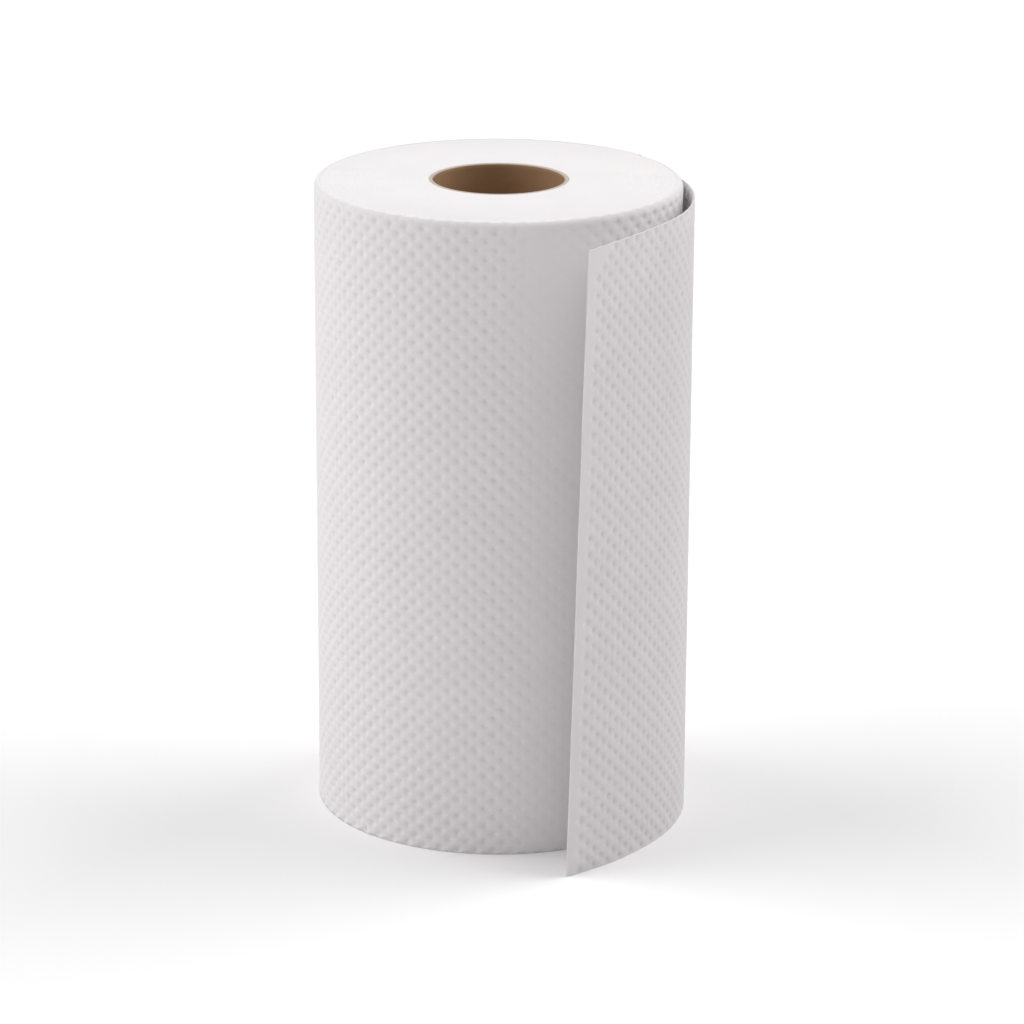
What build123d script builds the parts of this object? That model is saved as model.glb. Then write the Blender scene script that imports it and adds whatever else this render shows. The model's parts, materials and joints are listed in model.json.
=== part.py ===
from build123d import *

import os
from math import acos, degrees

# A roll of kitchen paper towel standing on its end, with the last turn hanging open.
# Millimetres and degrees. +Z is up along the roll's axis, the origin is on that axis in the plane
# that the roll stands on, and the loose sheet opens towards -Y.

# Driving dimensions
roll_height = 228.0  # width of the paper web, which is the height of the standing roll
roll_diameter = 130.0  # outside of the wound paper
core_bore = 46.0  # clear hole through the card tube
core_wall = 1.5  # wall of the card tube
top_round = 2.0  # softened outer edge of the paper at the top end
sheet_thickness = 0.8  # embossed two-ply sheet with its relief

# The loose last turn. It leaves the wound paper at one upright line and bends back round the roll
# less and less, so its free edge stands well clear of the wound paper.
leave_angle = 37.5  # place of that line round the roll, counted from +X towards +Y
loose_length = 143.0  # from the leaving line to the free edge, along the sheet
bent_length = 95.0  # the first part of that, which keeps one bend from the foot to the top
spring_back = 15.0  # how much wider than the roll the first part bends, on the radius
foot_far_radius = 108.0  # outer face of the far part, at the foot
top_far_radius = 350.0  # outer face of the far part, at the top, where it hangs almost flat
top_drop = 3.3  # the loose sheet has slipped down by this much at the top

# Fits
core_fit = 0.0  # the first turn is glued to the card tube, so the two meet face to face

roll_radius = roll_diameter / 2
core_radius = core_bore / 2
tube_radius = core_radius + core_wall
paper_bore_radius = tube_radius + core_fit

# The bent part, seen from above. Its centre lies behind the roll's axis, so its outer face leaves
# the wound paper without a corner, and its inner face starts at a crevice further round.
sheet_top = roll_height - top_drop
bend_radius = roll_radius + spring_back
inner_bend_radius = bend_radius - sheet_thickness
bend_centre = Vector(-spring_back, 0).rotate(Axis.Z, leave_angle)
bent_turn = degrees(bent_length / bend_radius)
bend_end_angle = leave_angle - bent_turn
bend_end = bend_centre + Vector(bend_radius, 0).rotate(Axis.Z, bend_end_angle)
inner_bend_end = bend_centre + Vector(inner_bend_radius, 0).rotate(Axis.Z, bend_end_angle)
bend_end_heading = Vector(0, -1).rotate(Axis.Z, bend_end_angle)

# Law of cosines on the roll's axis, the bend's centre and the crevice
crevice_turn = degrees(
    acos((inner_bend_radius**2 - roll_radius**2 - spring_back**2) / (2 * roll_radius * spring_back))
)
crevice = Vector(roll_radius, 0).rotate(Axis.Z, leave_angle - crevice_turn)
crevice_bend_angle = Vector(1, 0).get_signed_angle(crevice - bend_centre, Vector(0, 0, 1))


def far_section(plane, far_radius):
    """Level section of the far part of the loose sheet, from the end of the bend to the free edge."""
    far_turn = degrees((loose_length - bent_length) / far_radius)
    with BuildSketch(plane) as section:
        with BuildLine():
            outer = JernArc(bend_end, bend_end_heading, far_radius, -far_turn)
            inner = JernArc(inner_bend_end, bend_end_heading, far_radius - sheet_thickness, -far_turn)
            Line(outer @ 0, inner @ 0)
            Line(outer @ 1, inner @ 1)
        make_face()
    return section.sketch.face()


# Card tube that the web is wound on, cut flush with the paper at both ends
with BuildPart() as core_tube:
    with BuildSketch(Plane.XY):
        Circle(tube_radius)
        Circle(core_radius, mode=Mode.SUBTRACT)
    extrude(amount=roll_height)

# The paper web: all its wound turns as one solid, with the loose end of the same web
with BuildPart() as towel_roll:
    with BuildSketch(Plane.XY):
        with BuildLine():
            CenterArc((0, 0), roll_radius, leave_angle, 360 - crevice_turn)
            CenterArc(bend_centre, bend_radius, leave_angle, -bent_turn)
            Line(bend_end, inner_bend_end)
            CenterArc(bend_centre, inner_bend_radius, bend_end_angle, crevice_bend_angle - bend_end_angle)
        make_face()
        Circle(paper_bore_radius, mode=Mode.SUBTRACT)
    extrude(amount=sheet_top)
    # The wound turns stand proud of the loose sheet at the top, with their outer edge rounded
    with BuildSketch(Plane.XY.offset(sheet_top)):
        Circle(roll_radius)
        Circle(paper_bore_radius, mode=Mode.SUBTRACT)
    extrude(amount=top_drop)
    top_edges = towel_roll.edges().filter_by(GeomType.CIRCLE).group_by(Axis.Z)[-1]
    fillet(top_edges.sort_by(SortBy.RADIUS)[-1], top_round)
    foot_section = far_section(Plane.XY, foot_far_radius)
    top_section = far_section(Plane.XY.offset(sheet_top), top_far_radius)
    loft([foot_section, top_section], ruled=True)

core_tube.part.label = "core_tube"
towel_roll.part.label = "towel_roll"

os.makedirs("parts", exist_ok=True)
export_step(core_tube.part, "parts/core_tube.step")
export_step(towel_roll.part, "parts/towel_roll.step")
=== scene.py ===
import json
from math import cos, pi, radians, sin

import bmesh
import bpy
import numpy as np
from bpy.props import FloatProperty, FloatVectorProperty, IntProperty, PointerProperty
from mathutils import Euler, Matrix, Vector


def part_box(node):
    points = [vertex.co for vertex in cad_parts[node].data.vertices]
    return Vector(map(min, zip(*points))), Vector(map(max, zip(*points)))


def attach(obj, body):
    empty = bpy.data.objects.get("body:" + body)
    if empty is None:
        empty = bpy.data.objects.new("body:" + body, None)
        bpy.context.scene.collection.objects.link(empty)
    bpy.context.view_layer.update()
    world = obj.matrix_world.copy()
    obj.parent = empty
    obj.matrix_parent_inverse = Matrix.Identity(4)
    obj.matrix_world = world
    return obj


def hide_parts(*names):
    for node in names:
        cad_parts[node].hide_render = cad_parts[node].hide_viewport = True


bl_info = {
    "name": "Kitchen Paper Roll",
    "version": (1, 0, 0),
    "blender": (4, 5, 0),
    "location": "3D View > Sidebar > Paper Roll",
    "description": "Builds an embossed paper towel roll with a loose last sheet around its packed frame",
    "category": "Add Mesh",
}

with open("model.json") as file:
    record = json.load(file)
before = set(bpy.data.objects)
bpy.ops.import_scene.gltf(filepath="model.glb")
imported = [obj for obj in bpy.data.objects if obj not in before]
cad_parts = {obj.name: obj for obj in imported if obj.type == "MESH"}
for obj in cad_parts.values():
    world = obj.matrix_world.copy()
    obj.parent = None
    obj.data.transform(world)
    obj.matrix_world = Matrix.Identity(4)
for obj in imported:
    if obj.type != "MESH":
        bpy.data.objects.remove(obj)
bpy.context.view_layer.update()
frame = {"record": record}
MM = 0.001

# Sizes that the frame gives: the roll's outside, its height and its card tube
BORE = next(m for m in frame["record"]["mounts"] if m["name"] == "core_bore")
ROLL_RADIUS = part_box("towel_roll")[1].y
ROLL_HEIGHT = BORE["dims"]["length_mm"] * MM
CORE_INNER = BORE["dims"]["r_mm"] * MM
CORE_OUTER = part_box("core_tube")[1].x

# Thickness of the outer turn's shell, and how the wound turns reach under its lip
WRAP_DEPTH = 1.0 * MM
LIP_OVERLAP = 0.05 * MM
LIP_CLEARANCE = 0.03 * MM


# ------------------------------------------------------------------------------------------------
# What a user may change
# ------------------------------------------------------------------------------------------------

def length(name, description, default, **more):
    """A size in metres, shown in the sidebar."""
    return FloatProperty(
        name=name, description=description, default=default, unit="LENGTH", precision=5, **more
    )


class PaperSettings(bpy.types.PropertyGroup):
    """The embossed web: its wound turns and its loose last sheet."""

    columns: IntProperty(
        name="Columns", description="Columns of dimples round the roll", default=128, min=8
    )
    rows: IntProperty(
        name="Rows", description="Half-rows of dimples from the foot to the top", default=74, min=4
    )
    dimple_radius: length("Dimple radius", "Rim of one pressed dimple", 1.3 * MM)
    dimple_depth: length("Dimple depth", "How far a dimple is pressed in", 0.66 * MM)
    depth_spread: FloatProperty(
        name="Depth spread", description="How much the dimples differ in depth", default=0.2,
        min=0, max=1, subtype="FACTOR",
    )
    sheet_thickness: length("Sheet thickness", "Two plies of the loose sheet", 0.5 * MM)
    lap_drop: length("Lap drop", "How much lower the turn under the loose sheet lies", 0.65 * MM)
    shoulder: length("Shoulder", "Rounding of the roll's outer edge at the top", 2.0 * MM)
    rubbed_place: length("Rubbed place", "Middle of the rubbed strip, from the leaving line", 284 * MM)
    rubbed_width: length("Rubbed width", "Half width of the rubbed strip", 14 * MM)
    rubbed_share: FloatProperty(
        name="Rubbed share", description="How much of the dimples' depth is rubbed away",
        default=0.75, min=0, max=1, subtype="FACTOR",
    )
    wander: length("Wander", "How far the sheet strays from a true curve", 0.22 * MM)
    turn_pitch: length("Turn pitch", "Spacing of the turn edges that show on the ends", 1.2 * MM)
    turn_relief: length("Turn relief", "Depth between two turn edges at the outside", 0.30 * MM)
    color: FloatVectorProperty(
        name="Paper color", description="Bleached paper", subtype="COLOR", size=3, min=0, max=1,
        default=(0.868, 0.842, 0.850),
    )


class LooseSheetSettings(bpy.types.PropertyGroup):
    """The last turn, which leaves the roll at one upright line and opens in three arcs."""

    leave_angle: FloatProperty(
        name="Leaving line", description="Place of the leaving line round the roll, from +X",
        default=radians(37.5), subtype="ANGLE",
    )
    free_length: length("Free length", "From the leaving line to the free edge", 143 * MM)
    bent_length: length("Bent length", "The first part, with one bend", 95 * MM)
    bend_radius: length("Bend radius", "Bend of the first part", 80 * MM)
    foot_radius: length("Foot radius", "Bend of the far part at the foot", 108 * MM)
    top_radius: length("Top radius", "Bend of the far part at the top", 350 * MM)
    top_drop: length("Top drop", "How far the sheet has slipped down at the top", 3.3 * MM)
    margin: length("Plain margin", "Unpressed strip beside the free edge", 3.7 * MM)
    columns: IntProperty(
        name="Columns", description="Columns of dimples along the loose sheet", default=44, min=4
    )


class CoreSettings(bpy.types.PropertyGroup):
    """The card tube in the middle."""

    seam_rise: length("Seam rise", "Height that the ply seam climbs in one turn", 90 * MM)
    seam_depth: length("Seam depth", "Depth of the ply seam in the bore", 0.25 * MM)
    color: FloatVectorProperty(
        name="Card color", description="Brown card", subtype="COLOR", size=3, min=0, max=1,
        default=(0.39, 0.235, 0.13),
    )
    edge_color: FloatVectorProperty(
        name="Card edge color", description="Cut end of the card", subtype="COLOR", size=3,
        min=0, max=1, default=(0.60, 0.52, 0.46),
    )


class StageSettings(bpy.types.PropertyGroup):
    """Floor and camera."""

    floor_size: length("Floor size", "Side of the square floor", 16.0)
    floor_color: FloatVectorProperty(
        name="Floor color", description="Plain pale floor", subtype="COLOR", size=3, min=0, max=1,
        default=(0.82, 0.81, 0.82),
    )
    camera_distance: length("Camera distance", "From the roll's axis, level", 1.4223)
    camera_height: length("Camera height", "Above the floor", 0.5619)
    camera_pitch: FloatProperty(
        name="Camera pitch", description="Downward tilt", default=radians(17.785), subtype="ANGLE"
    )
    camera_yaw: FloatProperty(
        name="Camera yaw", description="Turn to the right", default=radians(0.206), subtype="ANGLE"
    )
    camera_roll: FloatProperty(
        name="Camera roll", description="Tilt about the line of sight", default=radians(0.283),
        subtype="ANGLE",
    )
    lens: FloatProperty(
        name="Lens", description="Focal length on a 36 mm sensor", default=146.6, unit="CAMERA"
    )


# ------------------------------------------------------------------------------------------------
# Node helpers
# ------------------------------------------------------------------------------------------------

def add_node(tree, kind, inputs=None, **settings):
    """Adds a node, and sets or links its inputs, which are given by name or index."""
    node = tree.nodes.new(kind)
    for name, value in settings.items():
        setattr(node, name, value)
    for key, value in (inputs or {}).items():
        if isinstance(value, bpy.types.NodeSocket):
            tree.links.new(value, node.inputs[key])
        else:
            node.inputs[key].default_value = value
    return node


def maths(tree, operation, *values, clamp=False):
    """One Math node on up to three sockets or numbers."""
    inputs = dict(enumerate(values))
    node = add_node(tree, "ShaderNodeMath", inputs, operation=operation, use_clamp=clamp)
    return node.outputs[0]


def vectors(tree, operation, *values, scale=None):
    """One Vector Math node on sockets or vectors, with the scale of a Scale."""
    inputs = dict(enumerate(values))
    if scale is not None:
        inputs["Scale"] = scale
    return add_node(tree, "ShaderNodeVectorMath", inputs, operation=operation).outputs[0]


def named(tree, name, data_type="FLOAT"):
    """A named attribute as a field."""
    node = add_node(tree, "GeometryNodeInputNamedAttribute", data_type=data_type)
    node.inputs["Name"].default_value = name
    return node.outputs["Attribute"]


def position_parts(tree):
    """The position as three numbers."""
    position = add_node(tree, "GeometryNodeInputPosition").outputs[0]
    return add_node(tree, "ShaderNodeSeparateXYZ", {0: position})


def store(tree, geometry, name, value, data_type="FLOAT", domain="POINT"):
    """Stores a field as a named attribute and returns the geometry."""
    node = add_node(
        tree, "GeometryNodeStoreNamedAttribute", {"Geometry": geometry, "Name": name},
        data_type=data_type, domain=domain,
    )
    tree.links.new(value, node.inputs["Value"])
    return node.outputs["Geometry"]


# ------------------------------------------------------------------------------------------------
# Embossed sheet: a flat lattice of dimple tiles, wrapped on two guide curves
# ------------------------------------------------------------------------------------------------

SHEET_INPUTS = (
    ("Columns", "NodeSocketInt"),
    ("Rows", "NodeSocketInt"),
    ("Column Pitch", "NodeSocketFloat"),
    ("Row Pitch", "NodeSocketFloat"),
    ("Plain Margin", "NodeSocketFloat"),
    ("Corner", "NodeSocketInt"),
    ("Depth", "NodeSocketFloat"),
    ("Depth Spread", "NodeSocketFloat"),
    ("Straight Height", "NodeSocketFloat"),
    ("Shoulder", "NodeSocketFloat"),
    ("Wander", "NodeSocketFloat"),
    ("Rubbed Place", "NodeSocketFloat"),
    ("Rubbed Width", "NodeSocketFloat"),
    ("Rubbed Share", "NodeSocketFloat"),
    ("Foot Curve", "NodeSocketObject"),
    ("Top Curve", "NodeSocketObject"),
    ("Material", "NodeSocketMaterial"),
)


def dimple_tile(paper, column_pitch, row_pitch):
    """Mesh of one tile of the lattice: a round dimple in a diamond that meets its neighbours.

    The attribute press says how much of the full depth each point gets. The diamond's corners lie on
    the crowns between the dimples, and the middles of its sides in the saddles.
    """
    rim = paper.dimple_radius
    rings = ((0.55, 0.80), (1.0, 0.26))
    points = [(0.0, 0.0)]
    press = [1.0]
    for share, pressed in rings:
        for k in range(8):
            turn = k * pi / 4
            points.append((rim * share * cos(turn), rim * share * sin(turn)))
            press.append(pressed)
    for k in range(8):
        quarter = (k // 2) * pi / 2
        corner = (round(cos(quarter)), round(sin(quarter)))
        after = (round(cos(quarter + pi / 2)), round(sin(quarter + pi / 2)))
        if k % 2 == 0:
            place = (corner[0] * column_pitch, corner[1] * row_pitch)
        else:
            place = ((corner[0] + after[0]) * column_pitch / 2, (corner[1] + after[1]) * row_pitch / 2)
        points.append(place)
        press.append(0.0 if k % 2 == 0 else 0.12)
    faces = []
    for k in range(8):
        n = (k + 1) % 8
        faces.append((0, 1 + k, 1 + n))
        for ring in (1, 9):
            faces.append((ring + k, ring + 8 + k, ring + 8 + n, ring + n))
    mesh = bpy.data.meshes.new("dimple_tile")
    mesh.from_pydata([(x, y, 0) for x, y in points], [], faces)
    mesh.attributes.new("press", "FLOAT", "POINT").data.foreach_set("value", press)
    return mesh


def sheet_tree():
    """Geometry nodes that tile the dimple over a sheet and wrap it on the two guide curves."""
    tree = bpy.data.node_groups.new("Embossed Sheet", "GeometryNodeTree")
    face = tree.interface
    face.new_socket("Geometry", in_out="INPUT", socket_type="NodeSocketGeometry")
    for name, kind in SHEET_INPUTS:
        face.new_socket(name, in_out="INPUT", socket_type=kind)
    face.new_socket("Geometry", in_out="OUTPUT", socket_type="NodeSocketGeometry")
    given = add_node(tree, "NodeGroupInput").outputs
    pitch_u, pitch_v = given["Column Pitch"], given["Row Pitch"]

    # Lattice points, two columns and one row past the dimpled field on each side
    across = maths(tree, "ADD", given["Columns"], 4)
    up = maths(tree, "ADD", given["Rows"], 2)
    grid = add_node(tree, "GeometryNodeMeshGrid", {
        "Vertices X": across, "Vertices Y": up,
        "Size X": maths(tree, "MULTIPLY", maths(tree, "SUBTRACT", across, 1), pitch_u),
        "Size Y": maths(tree, "MULTIPLY", maths(tree, "SUBTRACT", up, 1), pitch_v),
    })
    place = position_parts(tree)
    half_u = maths(tree, "MULTIPLY", maths(tree, "SUBTRACT", across, 1), 0.5)
    half_v = maths(tree, "MULTIPLY", maths(tree, "SUBTRACT", up, 1), 0.5)
    column = maths(tree, "ADD", maths(tree, "DIVIDE", place.outputs[0], pitch_u), half_u)
    row = maths(tree, "ADD", maths(tree, "DIVIDE", place.outputs[1], pitch_v), half_v)
    column = maths(tree, "SUBTRACT", maths(tree, "ROUND", column), 2)
    row = maths(tree, "SUBTRACT", maths(tree, "ROUND", row), 1)

    # A dimple stands on every other point, inside the field and clear of its corner at the free edge
    live = maths(tree, "GREATER_THAN", column, -0.5)
    from_top = maths(tree, "SUBTRACT", maths(tree, "SUBTRACT", given["Rows"], 1), row)
    for test in (
        maths(tree, "LESS_THAN", column, maths(tree, "SUBTRACT", given["Columns"], 0.5)),
        maths(tree, "GREATER_THAN", row, -0.5),
        maths(tree, "GREATER_THAN", from_top, -0.5),
        maths(tree, "GREATER_THAN", maths(tree, "ADD", column, from_top),
              maths(tree, "SUBTRACT", given["Corner"], 0.5)),
    ):
        live = maths(tree, "MULTIPLY", live, test)
    chance = add_node(tree, "FunctionNodeRandomValue", {"Seed": 7}, data_type="FLOAT")
    chance.inputs[2].default_value = -1.0
    spread = maths(tree, "MULTIPLY", chance.outputs[1], given["Depth Spread"])
    live = maths(tree, "MULTIPLY", live, maths(tree, "ADD", 1.0, maths(tree, "MULTIPLY", spread, 0.5)))

    # Dimples are rubbed flatter in one upright strip
    column_place = maths(tree, "MULTIPLY", column, pitch_u)
    from_strip = maths(tree, "ABSOLUTE", maths(tree, "SUBTRACT", column_place, given["Rubbed Place"]))
    widths_away = maths(tree, "DIVIDE", from_strip, given["Rubbed Width"])
    within = maths(tree, "SUBTRACT", 1.5, widths_away, clamp=True)
    rubbed = maths(tree, "MULTIPLY", within, given["Rubbed Share"])
    live = maths(tree, "MULTIPLY", live, maths(tree, "SUBTRACT", 1.0, rubbed))
    centred = add_node(tree, "ShaderNodeCombineXYZ", {
        0: maths(tree, "MULTIPLY", maths(tree, "ADD", column, 0.5), pitch_u),
        1: maths(tree, "MULTIPLY", maths(tree, "ADD", row, 0.5), pitch_v),
    })
    odd = maths(tree, "MODULO", maths(tree, "ADD", maths(tree, "ADD", column, row), 8), 2)
    points = store(tree, grid.outputs["Mesh"], "live", live)
    points = store(tree, points, "odd", odd)
    points = add_node(tree, "GeometryNodeSetPosition", {"Geometry": points, "Position": centred.outputs[0]})
    points = add_node(tree, "GeometryNodeDeleteGeometry", {
        "Geometry": points.outputs[0],
        "Selection": maths(tree, "GREATER_THAN", named(tree, "odd"), 0.5),
    }, domain="POINT")
    tiles = add_node(tree, "GeometryNodeInstanceOnPoints", {
        "Points": points.outputs[0], "Instance": given["Geometry"],
    })
    flat = add_node(tree, "GeometryNodeRealizeInstances", {0: tiles.outputs[0]}).outputs[0]
    pressed = maths(tree, "MULTIPLY", named(tree, "press"), named(tree, "live"))
    sunk = maths(tree, "MULTIPLY", pressed, given["Depth"])
    flat = store(tree, flat, "sunk", sunk)

    # Tiles that cross the sheet's outline are pressed flat onto it, and their empty faces go
    field = maths(tree, "MULTIPLY", given["Columns"], pitch_u)
    height = maths(tree, "MULTIPLY", given["Rows"], pitch_v)
    low_u = maths(tree, "MULTIPLY", given["Plain Margin"], -1)
    here = position_parts(tree)
    trimmed = add_node(tree, "ShaderNodeCombineXYZ", {
        0: maths(tree, "MINIMUM", maths(tree, "MAXIMUM", here.outputs[0], low_u), field),
        1: maths(tree, "MINIMUM", maths(tree, "MAXIMUM", here.outputs[1], 0.0), height),
    })
    flat = add_node(tree, "GeometryNodeSetPosition", {"Geometry": flat, "Position": trimmed.outputs[0]})
    flat = add_node(tree, "GeometryNodeMergeByDistance", {"Geometry": flat.outputs[0], "Distance": 2e-5})
    area = add_node(tree, "GeometryNodeInputMeshFaceArea").outputs[0]
    flat = add_node(tree, "GeometryNodeDeleteGeometry", {
        "Geometry": flat.outputs[0],
        "Selection": maths(tree, "LESS_THAN", area, 1e-10),
    }, domain="FACE").outputs[0]

    # The sheet's own coordinates go with it as its UV map and as two plain numbers
    here = position_parts(tree)
    unrolled = add_node(tree, "GeometryNodeInputPosition").outputs[0]
    flat = store(tree, flat, "UVMap", unrolled, "FLOAT2", "CORNER")
    flat = store(tree, flat, "along", here.outputs[0])
    flat = store(tree, flat, "height", here.outputs[1])

    # Wrapping: across on the guide curves, up on the straight lines between them
    along, high = named(tree, "along"), named(tree, "height")
    whole_length = maths(tree, "SUBTRACT", field, low_u)
    share = maths(tree, "DIVIDE", maths(tree, "SUBTRACT", along, low_u), whole_length)
    sampled = []
    for guide in ("Foot Curve", "Top Curve"):
        curve = add_node(
            tree, "GeometryNodeObjectInfo", {"Object": given[guide]}, transform_space="RELATIVE"
        )
        sampled.append(add_node(tree, "GeometryNodeSampleCurve", {
            "Curves": curve.outputs["Geometry"], "Factor": share,
        }, mode="FACTOR").outputs)
    straight = maths(tree, "MINIMUM", high, given["Straight Height"])
    risen = maths(tree, "DIVIDE", straight, given["Straight Height"])
    base = add_node(tree, "ShaderNodeMix", {0: risen, 4: sampled[0]["Position"], 5: sampled[1]["Position"]},
                    data_type="VECTOR").outputs[1]
    tangent = add_node(tree, "ShaderNodeMix", {0: risen, 4: sampled[0]["Tangent"], 5: sampled[1]["Tangent"]},
                       data_type="VECTOR").outputs[1]
    foot_to_top = vectors(tree, "SUBTRACT", sampled[1]["Position"], sampled[0]["Position"])
    rise = vectors(tree, "NORMALIZE", foot_to_top)
    outward = vectors(tree, "NORMALIZE", vectors(tree, "CROSS_PRODUCT", tangent, rise))
    over = maths(tree, "DIVIDE", maths(tree, "SUBTRACT", high, straight), given["Shoulder"])
    lean, lift = maths(tree, "COSINE", over), maths(tree, "SINE", over)
    inward = maths(tree, "MULTIPLY", maths(tree, "SUBTRACT", lean, 1.0), given["Shoulder"])
    raised = maths(tree, "MULTIPLY", lift, given["Shoulder"])
    noise = add_node(tree, "ShaderNodeTexNoise", {"Vector": base, "Scale": 28.0, "Detail": 1.0})
    stray = maths(tree, "MULTIPLY", maths(tree, "SUBTRACT", noise.outputs[0], 0.5),
                  maths(tree, "MULTIPLY", given["Wander"], 2.0))
    stray = maths(tree, "MULTIPLY", stray, maths(tree, "SUBTRACT", 1.0, share))
    sink = maths(tree, "MULTIPLY", named(tree, "sunk"), -1.0)
    wall_sink = maths(tree, "MULTIPLY", sink, maths(tree, "POWER", lean, 2.0))
    off_wall = maths(tree, "ADD", maths(tree, "ADD", inward, stray), wall_sink)
    moved = vectors(tree, "ADD", base, vectors(tree, "ADD",
                    vectors(tree, "SCALE", outward, scale=off_wall),
                    vectors(tree, "SCALE", rise, scale=raised)))
    wrapped = add_node(tree, "GeometryNodeSetPosition", {"Geometry": flat, "Position": moved}).outputs[0]
    smooth = add_node(tree, "GeometryNodeSetShadeSmooth", {"Geometry": wrapped}).outputs[0]
    whole = add_node(tree, "GeometryNodeRealizeInstances", {0: smooth}).outputs[0]
    finished = add_node(tree, "GeometryNodeSetMaterial", {"Geometry": whole, "Material": given["Material"]})
    tree.links.new(finished.outputs[0], add_node(tree, "NodeGroupOutput").inputs[0])
    return tree


def guide_curve(name, points):
    """A curve object through the points, to wrap a sheet on."""
    curve = bpy.data.curves.new(name, "CURVE")
    curve.dimensions = "3D"
    spline = curve.splines.new("POLY")
    spline.points.add(len(points) - 1)
    spline.points.foreach_set("co", np.column_stack([points, np.ones(len(points))]).ravel())
    guide = bpy.data.objects.new(name, curve)
    bpy.context.scene.collection.objects.link(guide)
    return guide


def embossed_sheet(name, foot, top, material, **sizes):
    """Mesh of an embossed sheet between two guide curves, made by the geometry nodes."""
    paper = bpy.context.scene.paper_settings
    tile = dimple_tile(paper, sizes["Column Pitch"], sizes["Row Pitch"])
    maker = bpy.data.objects.new(name, tile)
    bpy.context.scene.collection.objects.link(maker)
    guides = [guide_curve(name + "_foot", foot), guide_curve(name + "_top", top)]
    modifier = maker.modifiers.new("Embossed Sheet", "NODES")
    modifier.node_group = bpy.data.node_groups.get("Embossed Sheet") or sheet_tree()
    values = {
        "Depth": paper.dimple_depth, "Depth Spread": paper.depth_spread, "Wander": paper.wander,
        "Foot Curve": guides[0], "Top Curve": guides[1], "Material": material, **sizes,
    }
    for socket in modifier.node_group.interface.items_tree:
        if socket.in_out == "INPUT" and socket.name in values:
            modifier[socket.identifier] = values[socket.name]
    evaluated = maker.evaluated_get(bpy.context.evaluated_depsgraph_get())
    mesh = bpy.data.meshes.new_from_object(evaluated)
    mesh.name = name
    for helper in (maker, *guides):
        bpy.data.objects.remove(helper)
    return mesh


def sharpen_border(mesh):
    """Marks a sheet's open border sharp, so that its rim doesn't bend the shading of its face."""
    work = bmesh.new()
    work.from_mesh(mesh)
    for edge in work.edges:
        edge.smooth = not edge.is_boundary
    work.to_mesh(mesh)
    work.free()


def new_piece(name, mesh, node):
    """Links a finished mesh as a piece that rides on the root and stands for a CAD node."""
    piece = bpy.data.objects.new(name, mesh)
    bpy.context.scene.collection.objects.link(piece)
    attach(piece, "root")
    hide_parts(node)
    return piece


# ------------------------------------------------------------------------------------------------
# Paths of the web, seen from above
# ------------------------------------------------------------------------------------------------

def level(points, z):
    """Adds one height to points in plan."""
    return np.column_stack([points, np.full(len(points), z)])


def loose_path(loose, far_radius):
    """Plan of the loose sheet's outer face, from its free edge back to the leaving line."""
    steps = 240
    stretch = np.linspace(0, loose.free_length, steps + 1)
    step = stretch[1]
    middle = stretch[:-1] + step / 2
    bend = np.where(middle < loose.bent_length, 1 / loose.bend_radius, 1 / far_radius)
    heading = loose.leave_angle - np.concatenate([[0], np.cumsum(bend * step)])
    mid_heading = (heading[:-1] + heading[1:]) / 2
    moves = step * np.column_stack([np.sin(mid_heading), -np.cos(mid_heading)])
    start = ROLL_RADIUS * np.array([cos(loose.leave_angle), sin(loose.leave_angle)])
    points = np.vstack([start, start + np.cumsum(moves, axis=0)])
    return points[::-1]


def wound_path(paper, loose, shrink=0.0):
    """Plan of the outermost wound turn, from the leaving line all the way round to under itself."""
    turn = np.linspace(0, 2 * pi, 721)
    radius = ROLL_RADIUS - shrink - paper.lap_drop * turn / (2 * pi)
    place = loose.leave_angle + turn
    return np.column_stack([radius * np.cos(place), radius * np.sin(place)])


# ------------------------------------------------------------------------------------------------
# Meshes of the wound turns and the card tube
# ------------------------------------------------------------------------------------------------

def zip_chains(left, right, left_keys, right_keys):
    """Triangles between two chains of vertices that run the same way."""
    faces = []
    i = j = 0
    while i < len(left) - 1 or j < len(right) - 1:
        step_left = j == len(right) - 1 or (i < len(left) - 1 and left_keys[i + 1] <= right_keys[j + 1])
        if step_left:
            faces.append((left[i], left[i + 1], right[j]))
            i += 1
        else:
            faces.append((left[i], right[j + 1], right[j]))
            j += 1
    return faces


def close_wrap(mesh, depth):
    """Gives the outer turn a plain inner wall and closes it along its four edges."""
    count = len(mesh.vertices)
    place = np.empty(count * 3, np.float32)
    mesh.vertices.foreach_get("co", place)
    place = place.reshape(-1, 3)
    along = np.empty(count, np.float32)
    high = np.empty(count, np.float32)
    mesh.attributes["along"].data.foreach_get("value", along)
    mesh.attributes["height"].data.foreach_get("value", high)
    edge = 1e-6

    def chain(mask, keys):
        picked = np.flatnonzero(mask)
        return picked[np.argsort(keys[picked])]

    foot = chain(high < edge, along)
    top = chain(high > high.max() - edge, along)
    first = chain(along < along.min() + edge, high)
    last = chain(along > along.max() - edge, high)

    def set_in(chain_ids, drop):
        away = place[chain_ids].copy()
        plan = np.linalg.norm(away[:, :2], axis=1)
        away[:, :2] *= ((plan - depth) / plan)[:, None]
        away[:, 2] += drop
        return away

    foot_in = count + np.arange(len(foot))
    top_in = foot_in[-1] + 1 + np.arange(len(top))
    added = np.vstack([set_in(foot, 0.0), set_in(top, -depth)])
    faces = []
    faces += zip_chains(foot, foot_in, along[foot], along[foot])
    faces += [face[::-1] for face in zip_chains(top, top_in, along[top], along[top])]
    faces += zip_chains(foot_in, top_in, along[foot], along[top])
    for side, ends, flip in (
        (first, (foot_in[0], top_in[0]), 1),
        (last, (foot_in[-1], top_in[-1]), 0),
    ):
        strip = zip_chains(side, ends, high[side], (0.0, high.max()))
        faces += [face[::-1] for face in strip] if flip else strip
    return added, faces


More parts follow.
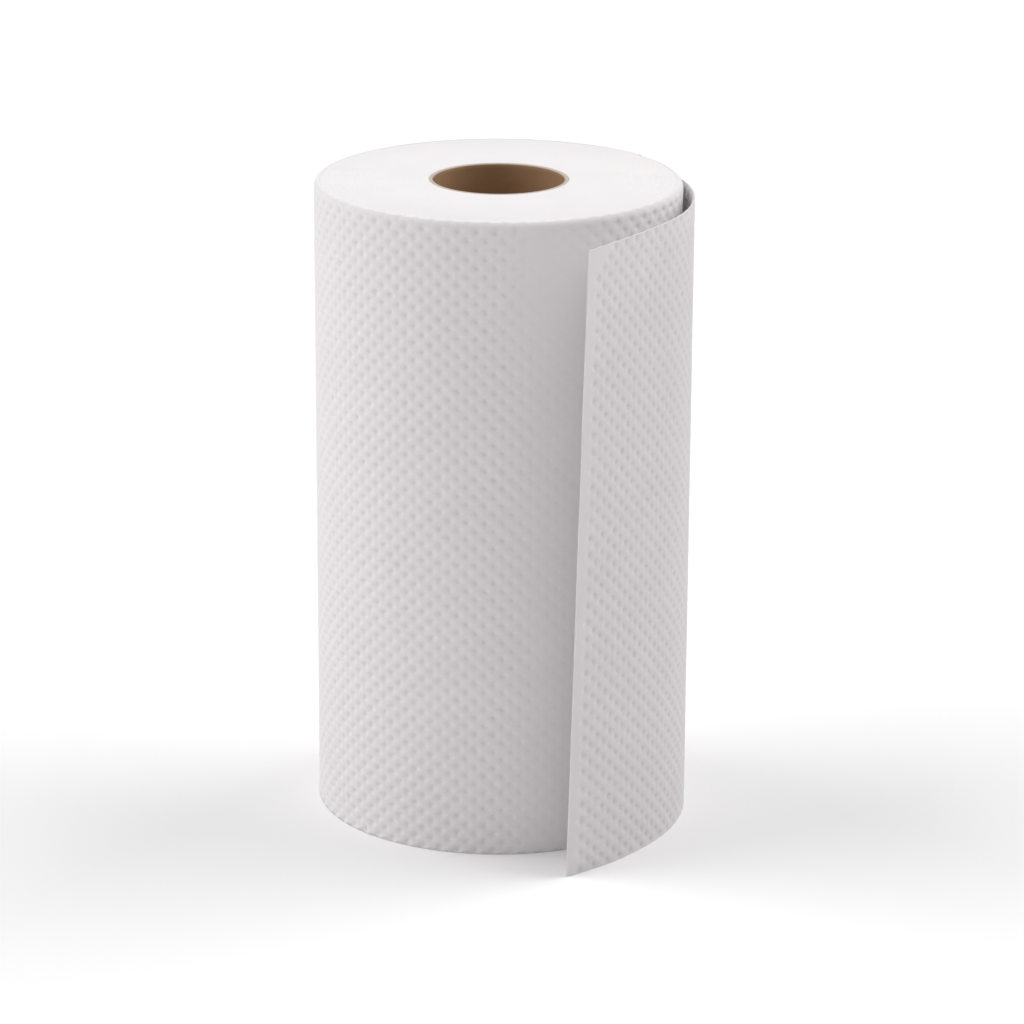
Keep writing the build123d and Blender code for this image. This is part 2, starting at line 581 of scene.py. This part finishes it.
def add_faces(mesh, added, faces):
    """Adds plain vertices and faces to a finished mesh, with its attributes kept."""
    work = bmesh.new()
    work.from_mesh(mesh)
    for place in added:
        work.verts.new(place)
    work.verts.ensure_lookup_table()
    for face in faces:
        corners = [work.verts[int(i)] for i in reversed(face)]
        if len(set(corners)) == 3:
            work.faces.new(corners)
    work.to_mesh(mesh)
    work.free()


def ring_mesh(name, rings, closed):
    """Mesh of rings of equally many points, joined in order, and back to the first if closed."""
    count = len(rings[0])
    faces = []
    last = len(rings) if closed else len(rings) - 1
    for a in range(last):
        b = (a + 1) % len(rings)
        for k in range(count):
            n = (k + 1) % count
            faces.append((a * count + k, a * count + n, b * count + n, b * count + k))
    mesh = bpy.data.meshes.new(name)
    mesh.from_pydata(np.concatenate(rings).tolist(), [], faces)
    mesh.shade_smooth()
    return mesh


def wound_mesh(paper, loose):
    """Closed ring of the wound turns, whose edges show as a spiral of fine ridges on both ends."""
    sectors = 240
    turn = np.arange(sectors) * 2 * pi / sectors
    after_leaving = (turn - loose.leave_angle) % (2 * pi) / (2 * pi)
    drop = paper.lap_drop * after_leaving

    def ring(radius, height):
        return np.column_stack([radius * np.cos(turn), radius * np.sin(turn), height])

    def end(side_height, sign, samples):
        """Rings of one end, from the tube outwards, with ridges that fade towards the tube."""
        rings = []
        for share in np.linspace(0, 1, samples):
            outer = ROLL_RADIUS - paper.shoulder + LIP_OVERLAP - drop
            if sign < 0:
                outer = ROLL_RADIUS - WRAP_DEPTH - drop
            radius = CORE_OUTER + share * (outer - CORE_OUTER)
            phase = (radius - CORE_OUTER) / paper.turn_pitch - turn / (2 * pi)
            fade = np.clip((radius / ROLL_RADIUS - 0.45) / 0.5, 0.15, 1)
            dip = LIP_CLEARANCE + paper.turn_relief * fade * (0.5 - 0.5 * np.cos(2 * pi * phase))
            if share == 1:
                dip = LIP_CLEARANCE * np.ones(sectors)
            rings.append(ring(radius, side_height - sign * dip))
        return rings

    foot = end(0.0, -1, 34)
    top = end(ROLL_HEIGHT, 1, 128)
    below = np.full(sectors, ROLL_HEIGHT - WRAP_DEPTH)
    under = ring(ROLL_RADIUS - paper.shoulder - 1.1 * WRAP_DEPTH - drop, below)
    return ring_mesh("wound_turns", foot + [under] + top[::-1], closed=True)


def core_mesh(core):
    """Closed tube of card with the step of its wound ply seam in the bore."""
    sectors = 144
    turn = np.arange(sectors) * 2 * pi / sectors
    bevel = 0.3 * MM

    def ring(radius, z):
        return np.column_stack([radius * np.cos(turn), radius * np.sin(turn), np.full(sectors, z)])

    heights = np.linspace(bevel, ROLL_HEIGHT - bevel, 190)
    inner = []
    for z in heights:
        past_seam = (z / core.seam_rise - turn / (2 * pi)) % 1
        inner.append(ring(CORE_INNER + core.seam_depth * np.exp(-past_seam / 0.05), z))
    whole = np.ones(sectors)
    outer = [
        ring((CORE_INNER + bevel) * whole, ROLL_HEIGHT),
        ring((CORE_OUTER - bevel) * whole, ROLL_HEIGHT),
        ring(CORE_OUTER * whole, ROLL_HEIGHT - bevel),
        ring(CORE_OUTER * whole, bevel),
        ring((CORE_OUTER - bevel) * whole, 0.0),
        ring((CORE_INNER + bevel) * whole, 0.0),
    ]
    return ring_mesh("card_core", (inner + outer)[::-1], closed=True)


# ------------------------------------------------------------------------------------------------
# Materials
# ------------------------------------------------------------------------------------------------

def fibre_group():
    """Shader group that gives a fibrous normal and a soft mottling mask from Object coordinates."""
    tree = bpy.data.node_groups.new("Fibres", "ShaderNodeTree")
    face = tree.interface
    for name in ("Scale", "Relief"):
        face.new_socket(name, in_out="INPUT", socket_type="NodeSocketFloat")
    face.new_socket("Mottling", in_out="OUTPUT", socket_type="NodeSocketFloat")
    face.new_socket("Normal", in_out="OUTPUT", socket_type="NodeSocketVector")
    given = add_node(tree, "NodeGroupInput").outputs
    place = add_node(tree, "ShaderNodeTexCoord").outputs["Object"]
    fibre = add_node(tree, "ShaderNodeTexNoise", {
        "Vector": place, "Scale": given["Scale"], "Detail": 6.0, "Roughness": 0.65, "Distortion": 0.6,
    }).outputs[0]
    cloud = add_node(tree, "ShaderNodeTexNoise", {"Vector": place, "Scale": 60.0, "Detail": 3.0}).outputs[0]
    bump = add_node(tree, "ShaderNodeBump", {"Height": fibre, "Strength": 0.35, "Distance": given["Relief"]})
    mottling = maths(tree, "ADD", maths(tree, "MULTIPLY", cloud, 0.6), maths(tree, "MULTIPLY", fibre, 0.4))
    add_node(tree, "NodeGroupOutput", {"Mottling": mottling, "Normal": bump.outputs[0]})
    return tree


def fibrous_material(name, scale, relief, roughness, tones, passing=0.0, fade_end=0.0):
    """Matte material with fibres and tones over the mottling.

    Light passes through the free end of a loose sheet by the share given, and less towards fade_end.
    """
    material = bpy.data.materials.new(name)
    material.use_nodes = True
    tree = material.node_tree
    tree.nodes.clear()
    group = bpy.data.node_groups.get("Fibres") or fibre_group()
    fibres = tree.nodes.new("ShaderNodeGroup")
    fibres.node_tree = group
    fibres.inputs["Scale"].default_value = scale
    fibres.inputs["Relief"].default_value = relief
    shade = maths(tree, "MULTIPLY_ADD", fibres.outputs["Mottling"], 3.0, -1.0, clamp=True)
    dark, light = [(*tone, 1) for tone in tones]
    color = add_node(tree, "ShaderNodeMix", {0: shade, 6: dark, 7: light}, data_type="RGBA")
    surface = add_node(tree, "ShaderNodeBsdfPrincipled", {
        "Base Color": color.outputs[2], "Normal": fibres.outputs["Normal"], "Roughness": roughness,
        "Specular IOR Level": 0.25,
    })
    if passing:
        through = add_node(tree, "ShaderNodeBsdfTranslucent", {"Color": color.outputs[2]})
        along = add_node(tree, "ShaderNodeAttribute", attribute_name="along").outputs["Fac"]
        free = maths(tree, "SUBTRACT", 1.0, maths(tree, "DIVIDE", along, fade_end), clamp=True)
        share = maths(tree, "MULTIPLY", maths(tree, "POWER", free, 0.5), passing)
        surface = add_node(tree, "ShaderNodeMixShader", {
            0: share, 1: surface.outputs[0], 2: through.outputs[0],
        })
    add_node(tree, "ShaderNodeOutputMaterial", {"Surface": surface.outputs[0]})
    return material


def toned(color, factor):
    """A color made lighter or darker, kept under white."""
    return tuple(min(channel * factor, 1.0) for channel in color)


def paper_material(name="Tissue", **passing):
    """Bleached tissue, made once for all the pieces that pass the same share of light."""
    color = bpy.context.scene.paper_settings.color
    return bpy.data.materials.get(name) or fibrous_material(
        name, 900.0, 0.00010, 0.92, (toned(color, 0.985), toned(color, 1.015)), **passing)


# ------------------------------------------------------------------------------------------------
# Operators, one for each piece and one for the stage
# ------------------------------------------------------------------------------------------------

class PAPERROLL_OT_outer_wrap(bpy.types.Operator):
    """Build the embossed outermost turn of the roll"""

    bl_idname = "paperroll.outer_wrap"
    bl_label = "Outer Wrap"

    def execute(self, context):
        paper, loose = context.scene.paper_settings, context.scene.loose_settings
        straight = ROLL_HEIGHT - paper.shoulder
        around = 2 * pi * ROLL_RADIUS
        mesh = embossed_sheet(
            "outer_wrap", level(wound_path(paper, loose), 0.0), level(wound_path(paper, loose), straight),
            paper_material(), **{
                "Columns": paper.columns, "Rows": paper.rows,
                "Column Pitch": around / paper.columns,
                "Row Pitch": (straight + paper.shoulder * pi / 2) / paper.rows,
                "Straight Height": straight, "Shoulder": paper.shoulder, "Wander": 0.0,
                "Rubbed Place": paper.rubbed_place, "Rubbed Width": paper.rubbed_width,
                "Rubbed Share": paper.rubbed_share,
            })
        add_faces(mesh, *close_wrap(mesh, WRAP_DEPTH))
        new_piece("outer_wrap", mesh, "towel_roll")
        return {"FINISHED"}


class PAPERROLL_OT_loose_sheet(bpy.types.Operator):
    """Build the loose last sheet, which stands away from the roll"""

    bl_idname = "paperroll.loose_sheet"
    bl_label = "Loose Sheet"

    def execute(self, context):
        paper, loose = context.scene.paper_settings, context.scene.loose_settings
        height = ROLL_HEIGHT - loose.top_drop
        mesh = embossed_sheet(
            "loose_sheet", level(loose_path(loose, loose.foot_radius), 0.0),
            level(loose_path(loose, loose.top_radius), height),
            paper_material("Loose Tissue", passing=0.32, fade_end=loose.free_length - loose.margin), **{
                "Columns": loose.columns, "Rows": paper.rows, "Corner": 2,
                "Column Pitch": (loose.free_length - loose.margin) / loose.columns,
                "Row Pitch": height / paper.rows, "Plain Margin": loose.margin,
                "Straight Height": height, "Shoulder": paper.shoulder, "Rubbed Width": paper.rubbed_width,
            })
        sharpen_border(mesh)
        sheet = new_piece("loose_sheet", mesh, "towel_roll")
        plies = sheet.modifiers.new("Plies", "SOLIDIFY")
        plies.thickness = paper.sheet_thickness
        plies.offset = -1
        return {"FINISHED"}


class PAPERROLL_OT_wound_turns(bpy.types.Operator):
    """Build the tightly wound turns, whose edges show on both ends"""

    bl_idname = "paperroll.wound_turns"
    bl_label = "Wound Turns"

    def execute(self, context):
        mesh = wound_mesh(context.scene.paper_settings, context.scene.loose_settings)
        mesh.materials.append(paper_material())
        new_piece("wound_turns", mesh, "towel_roll")
        return {"FINISHED"}


class PAPERROLL_OT_card_core(bpy.types.Operator):
    """Build the card tube in the middle"""

    bl_idname = "paperroll.card_core"
    bl_label = "Card Core"

    def execute(self, context):
        core = context.scene.core_settings
        mesh = core_mesh(core)
        mesh.materials.append(fibrous_material(
            "Card", 500.0, 0.00015, 0.85, (toned(core.color, 0.9), toned(core.color, 1.1))))
        mesh.materials.append(fibrous_material(
            "Cut Card", 900.0, 0.00010, 0.9, (toned(core.edge_color, 0.93), toned(core.edge_color, 1.05))))
        for polygon in mesh.polygons:
            if abs(polygon.normal.z) > 0.5:
                polygon.material_index = 1
        new_piece("card_core", mesh, "core_tube")
        return {"FINISHED"}


# Each lamp's name, azimuth, elevation, strength and softness, with the angles in degrees
LAMPS = (
    ("left_light", -94, 40, 0.50 * pi, 58),
    ("right_light", 106, 40, 0.54 * pi, 58),
    ("back_light", -140, 66, 0.06 * pi, 70),
)
WORLD_STRENGTH = 0.34
WHITE_FLOOR = (1.0, 0.995, 1.0, 1)


def add_sun(name, azimuth, elevation, irradiance, softness):
    """A soft distant lamp; azimuth is measured from the camera's side of the roll, right positive."""
    lamp = bpy.data.lights.new(name, "SUN")
    lamp.energy = irradiance
    lamp.angle = radians(softness)
    holder = bpy.data.objects.new(name, lamp)
    holder.rotation_euler = Euler((radians(90 - elevation), 0, radians(azimuth)), "XYZ")
    bpy.context.scene.collection.objects.link(holder)


class PAPERROLL_OT_stage(bpy.types.Operator):
    """Set up the floor, the lamps and the camera"""

    bl_idname = "paperroll.stage"
    bl_label = "Stage"

    def execute(self, context):
        scene, stage = context.scene, context.scene.stage_settings
        half = stage.floor_size / 2
        mesh = bpy.data.meshes.new("floor")
        mesh.from_pydata([(-half, -half, 0), (half, -half, 0), (half, half, 0), (-half, half, 0)], [],
                         [(0, 1, 2, 3)])
        floor = bpy.data.objects.new("floor", mesh)
        scene.collection.objects.link(floor)
        material = bpy.data.materials.new("Floor")
        material.use_nodes = True
        tree = material.node_tree
        tree.nodes.clear()
        seen = add_node(tree, "ShaderNodeLightPath").outputs["Is Camera Ray"]
        color = add_node(tree, "ShaderNodeMix", {
            0: seen, 6: (*stage.floor_color, 1), 7: WHITE_FLOOR,
        }, data_type="RGBA")
        surface = add_node(tree, "ShaderNodeBsdfDiffuse", {"Color": color.outputs[2]})
        add_node(tree, "ShaderNodeOutputMaterial", {"Surface": surface.outputs[0]})
        mesh.materials.append(material)

        for lamp in LAMPS:
            add_sun(*lamp)
        world = bpy.data.worlds.new("Studio")
        world.use_nodes = True
        world.node_tree.nodes["Background"].inputs["Color"].default_value = (1, 1, 1, 1)
        world.node_tree.nodes["Background"].inputs["Strength"].default_value = WORLD_STRENGTH
        scene.world = world

        lens = bpy.data.cameras.new("camera")
        lens.lens = stage.lens
        camera = bpy.data.objects.new("camera", lens)
        camera.matrix_world = (
            Matrix.Translation((0, -stage.camera_distance, stage.camera_height))
            @ Matrix.Rotation(-stage.camera_yaw, 4, "Z")
            @ Matrix.Rotation(pi / 2 - stage.camera_pitch, 4, "X")
            @ Matrix.Rotation(stage.camera_roll, 4, "Z")
        )
        scene.collection.objects.link(camera)
        scene.camera = camera
        scene.view_settings.view_transform = "Standard"
        return {"FINISHED"}


PIECES = (
    PAPERROLL_OT_card_core, PAPERROLL_OT_wound_turns, PAPERROLL_OT_outer_wrap,
    PAPERROLL_OT_loose_sheet, PAPERROLL_OT_stage,
)


class PAPERROLL_PT_panel(bpy.types.Panel):
    """Sizes of the roll and the buttons that build its pieces"""

    bl_idname = "PAPERROLL_PT_panel"
    bl_label = "Paper Roll"
    bl_space_type = "VIEW_3D"
    bl_region_type = "UI"
    bl_category = "Paper Roll"

    def draw(self, context):
        for settings in SETTINGS:
            values = getattr(context.scene, settings)
            box = self.layout.box()
            for name in values.bl_rna.properties.keys():
                if name not in {"rna_type", "name"}:
                    box.prop(values, name)
        for operator in PIECES:
            self.layout.operator(operator.bl_idname)


SETTINGS = {
    "paper_settings": PaperSettings,
    "loose_settings": LooseSheetSettings,
    "core_settings": CoreSettings,
    "stage_settings": StageSettings,
}
CLASSES = (*SETTINGS.values(), *PIECES, PAPERROLL_PT_panel)


def register():
    """Registers the classes and gives the scene its settings."""
    for cls in CLASSES:
        bpy.utils.register_class(cls)
    for name, cls in SETTINGS.items():
        setattr(bpy.types.Scene, name, PointerProperty(type=cls))


def unregister():
    """Takes everything back out."""
    for name in SETTINGS:
        delattr(bpy.types.Scene, name)
    for cls in reversed(CLASSES):
        bpy.utils.unregister_class(cls)


def main():
    """Builds every piece and the stage."""
    register()
    bpy.ops.paperroll.card_core()
    bpy.ops.paperroll.wound_turns()
    bpy.ops.paperroll.outer_wrap()
    bpy.ops.paperroll.loose_sheet()
    bpy.ops.paperroll.stage()


if __name__ == "__main__":
    main()
